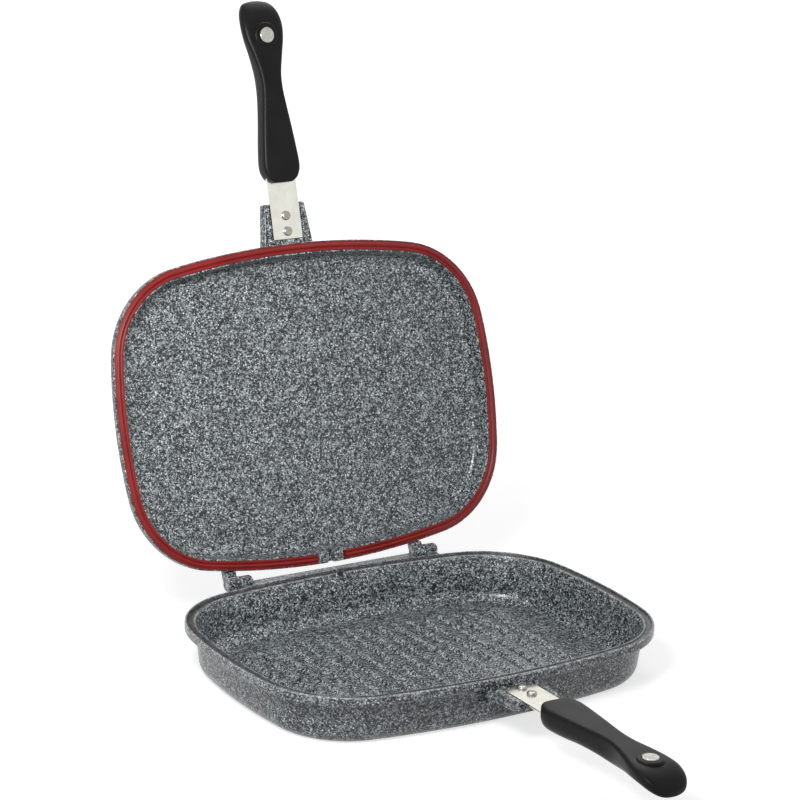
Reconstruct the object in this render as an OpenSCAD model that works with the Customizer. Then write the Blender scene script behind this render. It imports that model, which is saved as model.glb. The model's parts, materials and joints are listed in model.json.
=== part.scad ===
// Double-sided flip pan: a deep ribbed pan and a shallow smooth lid, hinged at the back, each with a handle.
// Millimetres. The origin is the middle of the pan's flat underside, +Z up, +Y to the hinge, handles at -Y.

/* [Rim outline] */
// Width of both rims, left to right
rim_w = 360; // [320:1:440]
// Depth of both rims, front to back
rim_d = 267; // [220:1:330]
// Radius of the long front and back edges
long_r = 665; // [500:5:900]
// Radius of the short side edges
short_r = 448; // [350:2:600]
// Radius of the four corners
corner_r = 77.5; // [60:0.5:95]

/* [Pan] */
// Height of the pan, from underside to rim
pan_h = 43; // [34:0.5:60]
// Height of the pan's rim flange
pan_flange_h = 7.5; // [6:0.5:12]
// Inset of the pan's wall below the flange
wall_in = 8.5; // [5:0.5:10]
// Thickness of the walls
wall_t = 3.2; // [2.5:0.1:4]
// Thickness of the pan's floor
pan_floor_t = 4.2; // [3:0.1:6]
// Inset of the flat underside from the rim
base_in = 22.5; // [18:0.5:30]
// Radius of the bottom edge, outside
base_r = 13; // [6:0.5:16]
// How far the wall leans in over its height
lean = 3; // [1:0.5:5]
// Width of the whole rim top
rim_top_w = 8.8; // [8:0.1:11]

/* [Ribs] */
// Distance from rib to rib
rib_pitch = 14.6; // [10:0.1:20]
// Width of a rib at its foot
rib_w = 5; // [3:0.1:7]
// Height of a rib
rib_h = 2.6; // [1:0.1:4]
// Space between the ribs' ends and the foot of the wall
rib_end_gap = 20; // [3:1:30]

/* [Lid] */
// Height of the lid, from rim to top
lid_h = 21; // [18:0.5:40]
// Height of the lid's rim flange
lid_flange_h = 6.5; // [4:0.5:8]
// Thickness of the lid's top
lid_top_t = 4; // [3:0.1:6]
// Inset of the lid's flat top from the rim
top_in = 18; // [15:0.5:26]
// Radius of the lid's top edge, outside
top_r = 9; // [5:0.5:12]
// How far the lid stands open at rest
open_angle = 107; // [95:0.5:115]
// Gap between the two rims when shut
close_gap = 0.3; // [0.2:0.05:0.6]

/* [Seal] */
// Inset of the seal's outer edge from the rim
seal_in = 0.8; // [0.6:0.1:1.2]
// Width of the lid's bare land inside the seal
seal_land = 0.3; // [0.2:0.1:1]
// Depth of the seal's channel in the lid
seal_depth = 2.6; // [2:0.1:3]
// How far the seal's ridge stands out of the lid
ridge_h = 1.3; // [0.8:0.1:1.6]
// Width of the seal's ridge
ridge_w = 2.8; // [2:0.1:3]
// Gap between seal and pan when shut
seal_gap = 0.3; // [0.2:0.05:0.5]
// Length of the gap in the seal at the vent
vent_gap = 27; // [16:1:40]
// Gap between the vent's land and each end of the seal
vent_end_gap = 2.2; // [0.2:0.1:4]
// Width of the lid's vent notch at the rim
vent_w = 8; // [4:0.5:10]
// Width of the lid's vent notch at its inner end
vent_tip_w = 4; // [2:0.5:6]
// Width of the pan's vent notch
pan_vent_w = 6; // [4:0.5:10]

/* [Hinge] */
// Distance of the hinge axis behind the rim
axis_back = 3.5; // [3:0.1:6]
// Height of the hinge axis above the pan's rim
axis_up = 0.7; // [0.4:0.1:2]
// Distance of each knuckle pair from the middle
hinge_x = 89.5; // [60:0.5:110]
// Width of a lid arm
arm_w = 10.5; // [8:0.5:18]
// Width of a pan knuckle
knuckle_w = 11.5; // [8:0.5:18]
// Side gap between arm and knuckle
side_gap = 1.4; // [0.6:0.1:3]
// Outer radius of the lid's arms round the pin
arm_r = 6; // [5:0.1:6.5]
// Outer radius of the pan's knuckles
knuckle_r = 5.3; // [4.5:0.1:6]
// Radius of the hinge pins
pin_r = 2.5; // [2:0.1:3]
// Radial play of a pin in its knuckle
pin_play = 0.05; // [0.02:0.01:0.1]
// Radial squeeze of a pin in its arm
pin_press = 0.02; // [0.01:0.01:0.03]
// Length of the heel that stops the lid
heel_l = 9.5; // [8:0.5:10]
// Gap between heel and stop when the lid is open
stop_gap = 0.3; // [0.2:0.1:0.6]

/* [Handle] */
// Reach of the lug in front of the rim
lug_l = 34; // [30:0.5:45]
// Width of the lug where it leaves the rim
lug_root_w = 46; // [40:1:60]
// Width of the lug at its tip
lug_tip_w = 38; // [34:1:46]
// Depth of the lug below the mating plane
lug_h = 15.5; // [13:0.5:20]
// Width of the steel strap
strap_w = 27.5; // [20:0.5:33]
// Thickness of the steel strap
strap_t = 2; // [1.5:0.1:3]
// Depth of the strap's face below the mating plane
strap_z = 6.6; // [5:0.1:8]
// Side gap between the strap and its lug
strap_side = 1.3; // [0.4:0.1:2]
// Play around the strap in its grip
strap_play = 0.3; // [0.1:0.05:0.8]
// Width of the strap's tang inside the grip
tang_w = 10; // [8:0.5:12]
// Distance of the first rivet from the rim
rivet_1 = 10.4; // [9:0.1:14]
// Distance between the rivets
rivet_pitch = 13; // [10:0.5:15]
// Radius of a rivet's shank
rivet_r = 2.5; // [1.5:0.1:3]
// Radius of a rivet's head
rivet_head_r = 4; // [3:0.1:4.5]
// Distance from the rim to the start of the grip
grip_start = 51; // [46:1:60]
// Length of the grip
grip_l = 152; // [130:1:180]
// Radius of the magnet's steel cap
magnet_r = 6.5; // [5:0.5:8]
// Height of the magnet's steel cap
magnet_h = 4; // [3:0.5:5]
// Radius of the boss around the magnet
boss_r = 11; // [9:0.5:13]
// Distance from the grip's start to the magnet
magnet_y = 122; // [110:1:130]
// Radius of the grip screw's shank
screw_r = 2; // [1.5:0.1:2.5]

/* [Hidden] */
$fn = 64;
eps = 0.01;

stone = [0.42, 0.44, 0.45];
phenolic = [0.12, 0.12, 0.12];
steel = [0.82, 0.82, 0.80];
silicone = [0.55, 0.14, 0.14];

// ---- Rim outline: eight tangent arcs, and the same arcs at any inset

half_w = rim_w / 2;
half_d = rim_d / 2;
long_steps = 4;    // arc steps along half a long edge
corner_steps = 10; // arc steps round a corner
short_steps = 3;   // arc steps along half a short edge

// The corner's centre lies where circles round the two edge centres meet
long_c = [0, half_d - long_r];
short_c = [half_w - short_r, 0];
link = short_c - long_c;
link_l = norm(link);
along = ((long_r - corner_r) ^ 2 - (short_r - corner_r) ^ 2 + link_l ^ 2) / (2 * link_l);
across = sqrt((long_r - corner_r) ^ 2 - along ^ 2);
corner_c = long_c + along * link / link_l - across * [-link[1], link[0]] / link_l;
short_a = atan2(corner_c[1], corner_c[0] - short_c[0]);
long_a = atan2(corner_c[1] - long_c[1], corner_c[0]);

// A station is the arc it lies on and its angle there: [centre x, centre y, radius, angle]
quarter = concat(
    [for (i = [0:short_steps - 1]) [short_c[0], 0, short_r, short_a * i / short_steps]],
    [for (i = [0:corner_steps - 1])
        [corner_c[0], corner_c[1], corner_r, short_a + (long_a - short_a) * i / corner_steps]],
    [for (i = [0:long_steps]) [0, long_c[1], long_r, long_a + (90 - long_a) * i / long_steps]]);
q_last = len(quarter) - 1;

function turned(st, sx, sy) =
    [sx * st[0], sy * st[1], st[2], atan2(sy * sin(st[3]), sx * cos(st[3]))];

stations = concat(
    [for (i = [0:q_last - 1]) turned(quarter[i], 1, 1)],
    [for (i = [q_last:-1:1]) turned(quarter[i], -1, 1)],
    [for (i = [0:q_last - 1]) turned(quarter[i], -1, -1)],
    [for (i = [q_last:-1:1]) turned(quarter[i], 1, -1)]);
n_st = len(stations);

function rim_xy(st, inset) =
    [st[0] + (st[2] - inset) * cos(st[3]), st[1] + (st[2] - inset) * sin(st[3])];

// Y of the rim's back edge at a given x, at an inset
function back_y(x, inset) = long_c[1] + sqrt((long_r - inset) ^ 2 - x ^ 2);

function ring_points(profile) =
    [for (st = stations) for (p = profile) concat(rim_xy(st, p[0]), p[1])];

function side_faces(m, wrap) =
    [for (i = [0:n_st - 1]) for (j = [0:m - (wrap ? 1 : 2)])
        let (k = (i + 1) % n_st, l = (j + 1) % m) [i * m + j, i * m + l, k * m + l, k * m + j]];

// A cup: its profile of [inset, z] runs from the foot up the outside, over the rim and down to the floor
module cup(profile) {
    m = len(profile);
    polyhedron(ring_points(profile),
        concat(side_faces(m, false),
            [[for (i = [0:n_st - 1]) i * m]],
            [[for (i = [n_st - 1:-1:0]) i * m + m - 1]]));
}

// A ring: its closed profile runs up the outside and down the inside
module ring(profile) {
    polyhedron(ring_points(profile), side_faces(len(profile), true));
}

// A quarter ellipse from its foot on the flat to where it runs into the wall
function foot_arc(foot_in, foot_z, reach, rise, steps = 5) =
    [for (i = [0:steps]) let (a = 90 * i / steps)
        [foot_in - reach * sin(a), foot_z + rise * (1 - cos(a))]];

function backwards(list) = [for (i = [len(list) - 1:-1:0]) list[i]];

// ---- Castings, drawn with the mating plane at z = 0 and the casting below it

wall_foot_in = wall_in + lean;            // inset of the outer wall where the bottom radius starts
inner_foot_in = base_in + 1.5;            // inset of the floor's edge
inner_wall_in = wall_in + wall_t;
inner_wall_foot = wall_foot_in + wall_t;
lip_edge = 0.9;                           // rounding of the rim's outer edge
groove_z = 1.9;                           // depth of the pan's rim groove
inner_lip_z = 1;                          // depth of the pan's inner lip
outer_lip_w = 1.8;                        // widths of the two lips beside the groove
inner_lip_w = 1.9;
groove_out = outer_lip_w + 0.5;           // insets of the groove's two sides
groove_end = rim_top_w - inner_lip_w - 0.4;

pan_profile = concat(
    foot_arc(base_in, -pan_h, base_in - wall_foot_in, base_r),
    [[wall_in, -pan_flange_h - 0.4], [0.7, -pan_flange_h], [0, -pan_flange_h + 1.2],
     [0, -lip_edge], [lip_edge * 0.3, -lip_edge * 0.3], [lip_edge, 0], [outer_lip_w, 0],
     [groove_out, -groove_z], [groove_end, -groove_z],
     [rim_top_w - inner_lip_w, -inner_lip_z], [rim_top_w - 0.5, -inner_lip_z],
     [rim_top_w, -inner_lip_z - 0.6], [inner_wall_in, -pan_flange_h - 2]],
    backwards(foot_arc(inner_foot_in, pan_floor_t - pan_h, inner_foot_in - inner_wall_foot, base_r - 2)));

lid_wall_in = rim_top_w - wall_t;         // inset of the lid's outer wall at its flange
lid_wall_foot = top_in - top_r + 1;
lid_inner_foot = lid_wall_foot + wall_t - 1.5;
lid_floor_in = top_in + 0.5;

seal_out = rim_top_w - seal_land;         // inset of the seal's inner edge

lid_profile = concat(
    foot_arc(top_in, -lid_h, top_in - lid_wall_foot, top_r),
    [[lid_wall_in, -lid_flange_h - 0.4], [0.5, -lid_flange_h], [0, -lid_flange_h + 0.8],
     [0, -lip_edge], [lip_edge * 0.5, 0], [seal_in, 0],
     [seal_in, -seal_depth], [seal_out, -seal_depth], [seal_out, -0.2],
     [seal_out + 1.1, -0.2], [seal_out + 1.4, -0.8]],
    backwards(foot_arc(lid_floor_in, lid_top_t - lid_h, lid_floor_in - lid_inner_foot, top_r - 2)));

// ---- Ribs

rib_count = floor((half_w - inner_foot_in - rib_end_gap) / rib_pitch - 0.5);

// Half length of a rib at x: the floor's edge there, less the end gap
function floor_half_y(x) =
    let (s = inner_foot_in + rib_end_gap, c = corner_c, r = corner_r - s,
         edge = back_y(x, s))
    abs(x) <= c[0] + r * cos(long_a) ? edge
        : abs(x) < c[0] + r * cos(short_a) ? c[1] + sqrt(r ^ 2 - (abs(x) - c[0]) ^ 2)
        : sqrt((short_r - s) ^ 2 - (abs(x) - short_c[0]) ^ 2);

module rib(x) {
    top_w = rib_w * 0.45;
    translate([x, floor_half_y(x), pan_floor_t - pan_h])
        rotate([90, 0, 0])
            linear_extrude(2 * floor_half_y(x))
                polygon([[-rib_w / 2, -1], [rib_w / 2, -1], [rib_w / 2, 0.2], [top_w / 2, rib_h],
                         [-top_w / 2, rib_h], [-rib_w / 2, 0.2]]);
}

// ---- Handle, drawn below the mating plane; y counts forward from the rim's front edge

strap_end_y = 4;                          // rim to the strap's end
tang_start = grip_start + 12;             // where the strap narrows to its tang
tang_end = grip_start + 66;               // where the tang ends inside the grip
strap_top = -strap_z;
strap_bottom = -strap_z - strap_t;
screw_y = grip_start + 32;                // where the screw goes through the tang
grip_deep = 19;                           // more than the grip's depth, for holes that open under it
screw_head_r = 2 * screw_r;
screw_head_z = -14.5;                     // bearing face of the screw's head
screw_head_h = 2.2;

// Places its children so that their +Y is the reach forward from the rim
module at_front() {
    translate([0, -half_d, 0]) mirror([0, 1, 0]) children();
}

module lug_plan() {
    polygon([[-lug_root_w / 2, -base_in], [lug_root_w / 2, -base_in], [lug_root_w / 2, 2],
             [lug_tip_w / 2, lug_l], [-lug_tip_w / 2, lug_l], [-lug_root_w / 2, 2]]);
}

// Its root runs into the casting's wall, from the inset upper_in under the rim to lower_in at root_h
module lug(upper_in, lower_in, root_h) {
    tip_round = 1.5;
    at_front() difference() {
        intersection() {
            translate([0, 0, -root_h]) linear_extrude(root_h) lug_plan();
            rotate([90, 0, 90]) translate([0, 0, -lug_root_w / 2])
                linear_extrude(lug_root_w)
                    polygon([[-upper_in, strap_top], [lug_l - tip_round, strap_top],
                             [lug_l, strap_top - tip_round], [lug_l, -lug_h],
                             [rivet_1 - rivet_head_r - 0.5, -lug_h],
                             [-wall_in, -root_h], [-lower_in, -root_h]]);
        }
        translate([-strap_w / 2 - strap_side, strap_end_y - strap_play, strap_bottom])
            cube([strap_w + 2 * strap_side, lug_l, lug_h]);
        rivet_places() cylinder(r = rivet_r, h = 3 * lug_h, center = true);
    }
}

module rivet_places() {
    for (k = [0, 1]) translate([0, rivet_1 + k * rivet_pitch, 0]) children();
}

module strap() {
    color(steel) at_front() difference() {
        union() {
            translate([-strap_w / 2, strap_end_y, strap_bottom])
                cube([strap_w, tang_start - strap_end_y, strap_t]);
            translate([-tang_w / 2, tang_start - 1, strap_bottom])
                cube([tang_w, tang_end - tang_start + 1, strap_t]);
        }
        rivet_places() cylinder(r = rivet_r, h = 3 * lug_h, center = true);
        translate([0, screw_y, 0]) cylinder(r = screw_r, h = 3 * lug_h, center = true);
    }
}

// Rounded drum head on the strap, shank through strap and lug, flat head under the lug
module rivets() {
    head_h = 2.3;
    head_square = 3.4;                    // a higher power makes the drum's side steeper
    tail_h = 1.2;
    color(steel) at_front() rivet_places() rotate_extrude()
        polygon(concat(
            [[0, -lug_h - tail_h], [rivet_head_r - 0.4, -lug_h - tail_h], [rivet_head_r, -lug_h],
             [rivet_r, -lug_h], [rivet_r, strap_top]],
            [for (i = [0:6]) let (a = 15 * i, p = 2 / head_square)
                [rivet_head_r * power(cos(a), p), strap_top + head_h * power(sin(a), p)]]));
}

// Grip stations: [share of length, half width, top z, bottom z]
grip_stations = [
    [0, 8, -1.2, -13], [0.012, 11.2, -0.3, -17.2], [0.035, 14.6, 0, -19.6], [0.09, 17, 0, -20.6],
    [0.2, 15.6, 0, -20.4], [0.32, 13.3, 0, -19.2], [0.44, 10.8, 0, -19.6], [0.52, 9.6, 0, -20.4],
    [0.6, 10.3, -0.3, -20.2], [0.7, 13.9, -0.8, -18.4], [0.79, 17.6, -1.9, -17],
    [0.87, 18.7, -3.2, -17.5], [0.94, 16.8, -6.9, -19.4], [0.985, 12, -11.8, -20.3],
    [1, 4.2, -15, -19.4]];
rings_between = 3;
section_pts = 20;
top_square = 4.6;     // a higher power makes the mating face flatter
bottom_square = 2.5;
widest_at = 0.4;      // where the section is widest, as a share of its height

// Smooth blend between four neighbouring values
function blend(a, b, c, d, t) =
    b + 0.5 * t * (c - a + t * (2 * a - 5 * b + 4 * c - d + t * (3 * (b - c) + d - a)));

function grip_at(i, t) =
    let (n = len(grip_stations) - 1, g = grip_stations)
    [for (k = [0:3]) blend(g[max(i - 1, 0)][k], g[i][k], g[i + 1][k], g[min(i + 2, n)][k], t)];

function power(v, p) = sign(v) * abs(v) ^ p;

// One ring of the grip: a section flatter above and rounder below
function grip_ring(st) =
    let (mid = st[2] - widest_at * (st[2] - st[3]))
    [for (i = [0:section_pts - 1])
        let (a = 360 * (i + 0.5) / section_pts, up = sin(a) > 0, p = 2 / (up ? top_square : bottom_square))
        [st[1] * power(cos(a), p), grip_start + grip_l * st[0],
         mid + (up ? st[2] - mid : mid - st[3]) * power(sin(a), p)]];

module grip_shell() {
    spans = len(grip_stations) - 1;
    rings = concat(
        [for (i = [0:spans - 1]) for (t = [0:rings_between - 1]) grip_ring(grip_at(i, t / rings_between))],
        [grip_ring(grip_stations[spans])]);
    n = len(rings);
    m = section_pts;
    polyhedron([for (r = rings) for (p = r) p],
        concat(
            [for (i = [0:n - 2]) for (j = [0:m - 1])
                [i * m + j, i * m + (j + 1) % m, (i + 1) * m + (j + 1) % m, (i + 1) * m + j]],
            [[for (j = [m - 1:-1:0]) j]],
            [[for (j = [0:m - 1]) (n - 1) * m + j]]));
}

boss_top = -1;                            // height of the boss round the magnet
boss_h = 8;                               // how far the boss runs down into the grip
magnet_top = 0;                           // the cap ends level with the mating plane

module grip() {
    color(phenolic) at_front() difference() {
        union() {
            grip_shell();
            translate([0, grip_start + magnet_y, boss_top - boss_h]) cylinder(r = boss_r, h = boss_h);
        }
        translate([-strap_w / 2 - strap_play, strap_end_y, strap_bottom])
            cube([strap_w + 2 * strap_play, tang_start + strap_play - strap_end_y, strap_t + strap_play]);
        translate([-tang_w / 2 - strap_play, grip_start, strap_bottom])
            cube([tang_w + 2 * strap_play, tang_end + strap_play - grip_start, strap_t + strap_play]);
        translate([0, grip_start + magnet_y, magnet_top - magnet_h])
            cylinder(r = magnet_r + strap_play / 2, h = 2 * magnet_h);
        translate([0, screw_y, screw_head_z])
            cylinder(r = screw_r + strap_play / 2, h = strap_bottom - screw_head_z + strap_t / 2);
        translate([0, screw_y, screw_head_z - grip_deep])
            cylinder(r = screw_head_r + strap_play, h = grip_deep);
    }
}

// Round-headed screw that holds the grip to the tang, sunk in the grip's outer side
module grip_screw() {
    cross_w = 0.8;
    cross_deep = 1;
    color(steel) at_front() translate([0, screw_y, 0]) difference() {
        rotate_extrude()
            polygon([[0, screw_head_z - screw_head_h], [screw_head_r - 1, screw_head_z - screw_head_h],
                     [screw_head_r, screw_head_z - 0.8], [screw_head_r, screw_head_z],
                     [screw_r, screw_head_z], [screw_r, strap_top], [0, strap_top]]);
        for (a = [0, 90]) rotate([0, 0, a])
            translate([-screw_r, -cross_w / 2, screw_head_z - screw_head_h - cross_deep])
                cube([2 * screw_r, cross_w, 2 * cross_deep]);
    }
}

cap_t = 0.5; // sheet thickness of the magnet's cap

// Bright steel cap with a rounded edge, closed towards the other handle
module magnet_cap() {
    color(steel) at_front() translate([0, grip_start + magnet_y, magnet_top - magnet_h]) difference() {
        rotate_extrude()
            polygon([[0, 0], [magnet_r, 0], [magnet_r, magnet_h - 0.8], [magnet_r - 0.25, magnet_h - 0.25],
                     [magnet_r - 0.8, magnet_h], [0, magnet_h]]);
        translate([0, 0, -eps]) cylinder(r = magnet_r - cap_t, h = magnet_h - cap_t + eps);
    }
}

module magnet() {
    color("dimgray") at_front() translate([0, grip_start + magnet_y, magnet_top - magnet_h])
        cylinder(r = magnet_r - cap_t, h = magnet_h - cap_t);
}

// ---- Placing: the pan hangs under its mating plane, the lid is mirrored over it and turned open

axis_y = half_d + axis_back;
axis_z = pan_h + axis_up;

module pan_place() { translate([0, 0, pan_h]) children(); }

module lid_shut() { translate([0, 0, pan_h + close_gap]) mirror([0, 0, 1]) children(); }

module opened() {
    translate([0, axis_y, axis_z]) rotate([-open_angle, 0, 0]) translate([0, -axis_y, -axis_z]) children();
}

module lid_place() { opened() lid_shut() children(); }

// ---- Hinge: on each side the lid's arm stands left of the pan's knuckle

sides = [-1, 1];
function arm_x0(side) = side * hinge_x - side_gap / 2 - arm_w;
function knuckle_x0(side) = side * hinge_x + side_gap / 2;

module on_axis(x0) { translate([x0, axis_y, axis_z]) rotate([90, 0, 90]) children(); }

heel_under = arm_r - 1;                   // how far the heel's stop face lies under the axis
heel_t = 4;                               // thickness of the heel
arm_t = 9;                                // height of the arm where it meets the lid's wall

// Side view of an arm, shut, about the axis: from the lid's wall to the barrel, and the heel behind it
module arm(side) {
    x = arm_x0(side);
    near_x = min(abs(x), abs(x + arm_w));
    wall = back_y(max(abs(x), abs(x + arm_w)), lid_wall_in + 1) - axis_y;
    lip = back_y(near_x, 0) - axis_y;
    under = close_gap - axis_up;
    on_axis(x) linear_extrude(arm_w) {
        circle(r = arm_r);
        polygon([[lip, under + 0.2], [0, under + 0.2], [0, arm_r], [wall, arm_t - axis_up],
                 [wall, under + seal_depth + 1], [lip, under + seal_depth + 1]]);
        polygon([[0, -heel_under], [heel_l, -heel_under], [heel_l, heel_t - heel_under], [0, heel_t]]);
    }
}

// Plan of a foot that grows out of the pan's outer lip, from x0 to x1 and back to back_to
module foot_plan(x0, x1, back_to) {
    difference() {
        translate([x0, 0]) square([x1 - x0, back_to]);
        translate(long_c) circle(r = long_r - 0.8 * outer_lip_w, $fn = 360);
    }
}

// The stop: a pad on the pan's flange that the open heel all but meets, clear of the arm's barrel
module stop_pad(side) {
    pad_top = pan_h - groove_z;
    x = arm_x0(side);
    difference() {
        translate([0, 0, pan_h - pan_flange_h]) linear_extrude(pad_top - pan_h + pan_flange_h)
            foot_plan(x + pad_side, x + arm_w - pad_side, axis_y);
        on_axis(x - 1) cylinder(r = arm_r + stop_gap, h = arm_w + 2);
        on_axis(x - 1) rotate([0, 0, -open_angle])
            translate([-heel_l, -heel_under - stop_gap, 0]) cube([3 * heel_l, 3 * heel_l, arm_w + 2]);
    }
}

vent_deep = pan_flange_h - 1;             // depth of the pan's vent notch, which stays in the flange
ledge_out = 2.5;                          // how far the ledge reaches behind the axis
ledge_h = 6;                              // height of the ledge and of the knuckles' feet
ledge_x0 = knuckle_x0(-1) + knuckle_w / 2;
ledge_x1 = arm_x0(1) - side_gap;
knuckle_round = 3;                        // rounding of a knuckle's outer end
pad_side = 1.5;                           // how much narrower the stop is than the arm, on each side

// Barrel with a rounded outer end, on a foot that runs in under the rim
module knuckle(side) {
    x0 = knuckle_x0(side);
    on_axis(x0) rotate_extrude()
        polygon(concat([[0, 0], [knuckle_r, 0]],
            [for (a = [0:15:90]) [knuckle_r - knuckle_round * (1 - cos(a)),
                                  knuckle_w - knuckle_round * (1 - sin(a))]],
            [[0, knuckle_w]]));
    translate([0, 0, pan_h - ledge_h]) linear_extrude(ledge_h)
        foot_plan(x0, x0 + knuckle_w - knuckle_round, axis_y);
}

module pan_body() {
    color(stone) difference() {
        union() {
            pan_place() {
                cup(pan_profile);
                for (k = [-rib_count:rib_count]) rib(k * rib_pitch);
                lug(wall_in + 0.5, wall_foot_in + 0.5, pan_h / 2);
            }
            for (s = sides) {
                knuckle(s);
                stop_pad(s);
            }
            translate([0, 0, pan_h - ledge_h]) linear_extrude(ledge_h)
                foot_plan(ledge_x0, ledge_x1, axis_y + ledge_out);
        }
        for (s = sides) on_axis(knuckle_x0(s) - 1) cylinder(r = pin_r + pin_play, h = knuckle_w + 2);
        translate([-pan_vent_w / 2, half_d - rim_top_w - wall_t, pan_h - vent_deep])
            cube([pan_vent_w, rim_top_w + wall_t - outer_lip_w, vent_deep + 1]);
    }
}

module lid_body() {
    color(stone) opened() difference() {
        union() {
            lid_shut() {
                cup(lid_profile);
                lug(lid_wall_in + 0.5, lid_wall_foot + 2.5, lid_h - lid_top_t);
                translate([vent_end_gap - vent_gap / 2, half_d - seal_out - 1, -seal_depth - 1])
                    cube([vent_gap - 2 * vent_end_gap, seal_out - seal_in + 1.2, seal_depth + 1]);
            }
            for (s = sides) arm(s);
        }
        for (s = sides) on_axis(arm_x0(s) - 1) cylinder(r = pin_r - pin_press, h = arm_w + 2);
        lid_shut() translate([0, half_d - seal_out - 2, 0])
            linear_extrude(2 * lid_flange_h, center = true)
                polygon([[-vent_tip_w / 2, 0], [vent_tip_w / 2, 0],
                         [vent_w / 2, seal_out + 4], [-vent_w / 2, seal_out + 4]]);
    }
}

// A ridge that dips into the pan's groove and a bead over the pan's inner lip, open at the vent
ridge_in = groove_out + 0.3;
bead_h = inner_lip_z + close_gap - seal_gap;
bead_in = groove_end - 0.2;
seal_profile = [
    [seal_in, -seal_depth], [seal_in, 0], [ridge_in - 0.3, 0], [ridge_in + 0.2 * ridge_w, 0.7 * ridge_h],
    [ridge_in + 0.5 * ridge_w, ridge_h], [ridge_in + 0.8 * ridge_w, 0.7 * ridge_h],
    [ridge_in + ridge_w + 0.3, 0], [bead_in - 0.5, 0], [bead_in, 0.7 * bead_h],
    [(bead_in + seal_out) / 2, bead_h], [seal_out - 0.2, 0.7 * bead_h],
    [seal_out, 0], [seal_out, -seal_depth]];

module lid_seal() {
    color(silicone) lid_place() difference() {
        ring(seal_profile);
        translate([-vent_gap / 2, half_d - 30, -10]) cube([vent_gap, 40, 20]);
    }
}

module hinge_pin(side) {
    pin_l = arm_w + side_gap + knuckle_w - 0.5;
    color(steel) opened() on_axis(arm_x0(side)) cylinder(r = pin_r, h = pin_l);
}

module left_hinge_pin() hinge_pin(-1);
module right_hinge_pin() hinge_pin(1);
module pan_strap() pan_place() strap();
module lid_strap() lid_place() strap();
module pan_rivets() pan_place() rivets();
module lid_rivets() lid_place() rivets();
module pan_grip() pan_place() grip();
module lid_grip() lid_place() grip();
module pan_grip_screw() pan_place() grip_screw();
module lid_grip_screw() lid_place() grip_screw();
module pan_magnet() pan_place() magnet();
module lid_magnet() lid_place() magnet();
module pan_magnet_cap() pan_place() magnet_cap();
module lid_magnet_cap() lid_place() magnet_cap();

pan_body();
lid_body();
lid_seal();
left_hinge_pin();
right_hinge_pin();
pan_strap();
lid_strap();
pan_rivets();
lid_rivets();
pan_grip();
lid_grip();
pan_grip_screw();
lid_grip_screw();
pan_magnet();
lid_magnet();
pan_magnet_cap();
lid_magnet_cap();
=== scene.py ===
"""Looks of the double-sided flip pan: speckled castings, silicone seal, straps and grips."""

import json
import math

import bmesh
import bpy
from mathutils import Matrix, Vector

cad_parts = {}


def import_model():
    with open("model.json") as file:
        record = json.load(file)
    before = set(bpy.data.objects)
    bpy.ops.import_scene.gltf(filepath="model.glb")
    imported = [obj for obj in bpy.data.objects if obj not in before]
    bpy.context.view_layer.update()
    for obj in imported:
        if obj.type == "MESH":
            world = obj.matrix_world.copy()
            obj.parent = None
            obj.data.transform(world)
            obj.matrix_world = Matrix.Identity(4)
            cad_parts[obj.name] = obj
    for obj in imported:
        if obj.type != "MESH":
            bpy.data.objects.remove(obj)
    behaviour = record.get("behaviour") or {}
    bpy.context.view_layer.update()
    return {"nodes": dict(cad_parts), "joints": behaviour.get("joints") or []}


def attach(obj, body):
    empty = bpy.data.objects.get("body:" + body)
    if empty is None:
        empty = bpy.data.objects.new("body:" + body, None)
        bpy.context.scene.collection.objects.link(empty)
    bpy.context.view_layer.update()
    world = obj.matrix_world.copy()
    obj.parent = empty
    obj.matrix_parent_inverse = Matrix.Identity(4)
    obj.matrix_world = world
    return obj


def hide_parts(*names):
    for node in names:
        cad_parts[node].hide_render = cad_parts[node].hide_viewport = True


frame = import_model()

# ---- Sizes in millimetres, the same as the construction's; a casting's mating plane is z = 0

MM = 0.001

# Rim outline, and the pan under it
RIM_W = 360
RIM_D = 267
LONG_R = 665              # radius of the long edges
SHORT_R = 448             # and of the short ones
CORNER_R = 77.5
PAN_H = 43
PAN_FLANGE_H = 7.5
WALL_IN = 8.5             # the wall's outer face, inside the rim's outline
WALL_T = 3.2
PAN_FLOOR_T = 4.2
BASE_IN = 22.5            # the flat underside, inside the rim's outline
BASE_R = 13
LEAN = 3                  # how far the wall leans in from flange to foot
RIM_TOP_W = 8.8
RIB_PITCH = 14.6
RIB_END_GAP = 20
RIB_H = 2.6

# Lid
LID_H = 21
LID_FLANGE_H = 6.5
LID_TOP_T = 4
TOP_IN = 18
TOP_R = 9
CLOSE_GAP = 0.3           # between the shut castings

# Seal and vent
SEAL_IN = 0.8
SEAL_LAND = 0.3
SEAL_DEPTH = 2.6
RIDGE_H = 1.3
RIDGE_W = 2.8
SEAL_GAP = 0.3
VENT_GAP = 27
VENT_END_GAP = 2.2
VENT_W = 8
VENT_TIP_W = 4
PAN_VENT_W = 6

# Hinge
HINGE_X = 89.5
ARM_W = 10.5
KNUCKLE_W = 11.5
SIDE_GAP = 1.4
ARM_R = 6
KNUCKLE_R = 5.3
PIN_R = 2.5
PIN_PLAY = 0.05
HEEL_L = 9.5
STOP_GAP = 0.3

# Lug, strap and rivets; depths are counted down from the mating plane
LUG_L = 34
LUG_ROOT_W = 46
LUG_TIP_W = 38
LUG_H = 15.5
STRAP_W = 27.5
STRAP_T = 2
STRAP_Z = 6.6
STRAP_SIDE = 1.3
STRAP_PLAY = 0.3
STRAP_END_Y = 4
TANG_W = 10
RIVET_1 = 10.4
RIVET_PITCH = 13
RIVET_R = 2.5
RIVET_HEAD_R = 4

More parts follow.
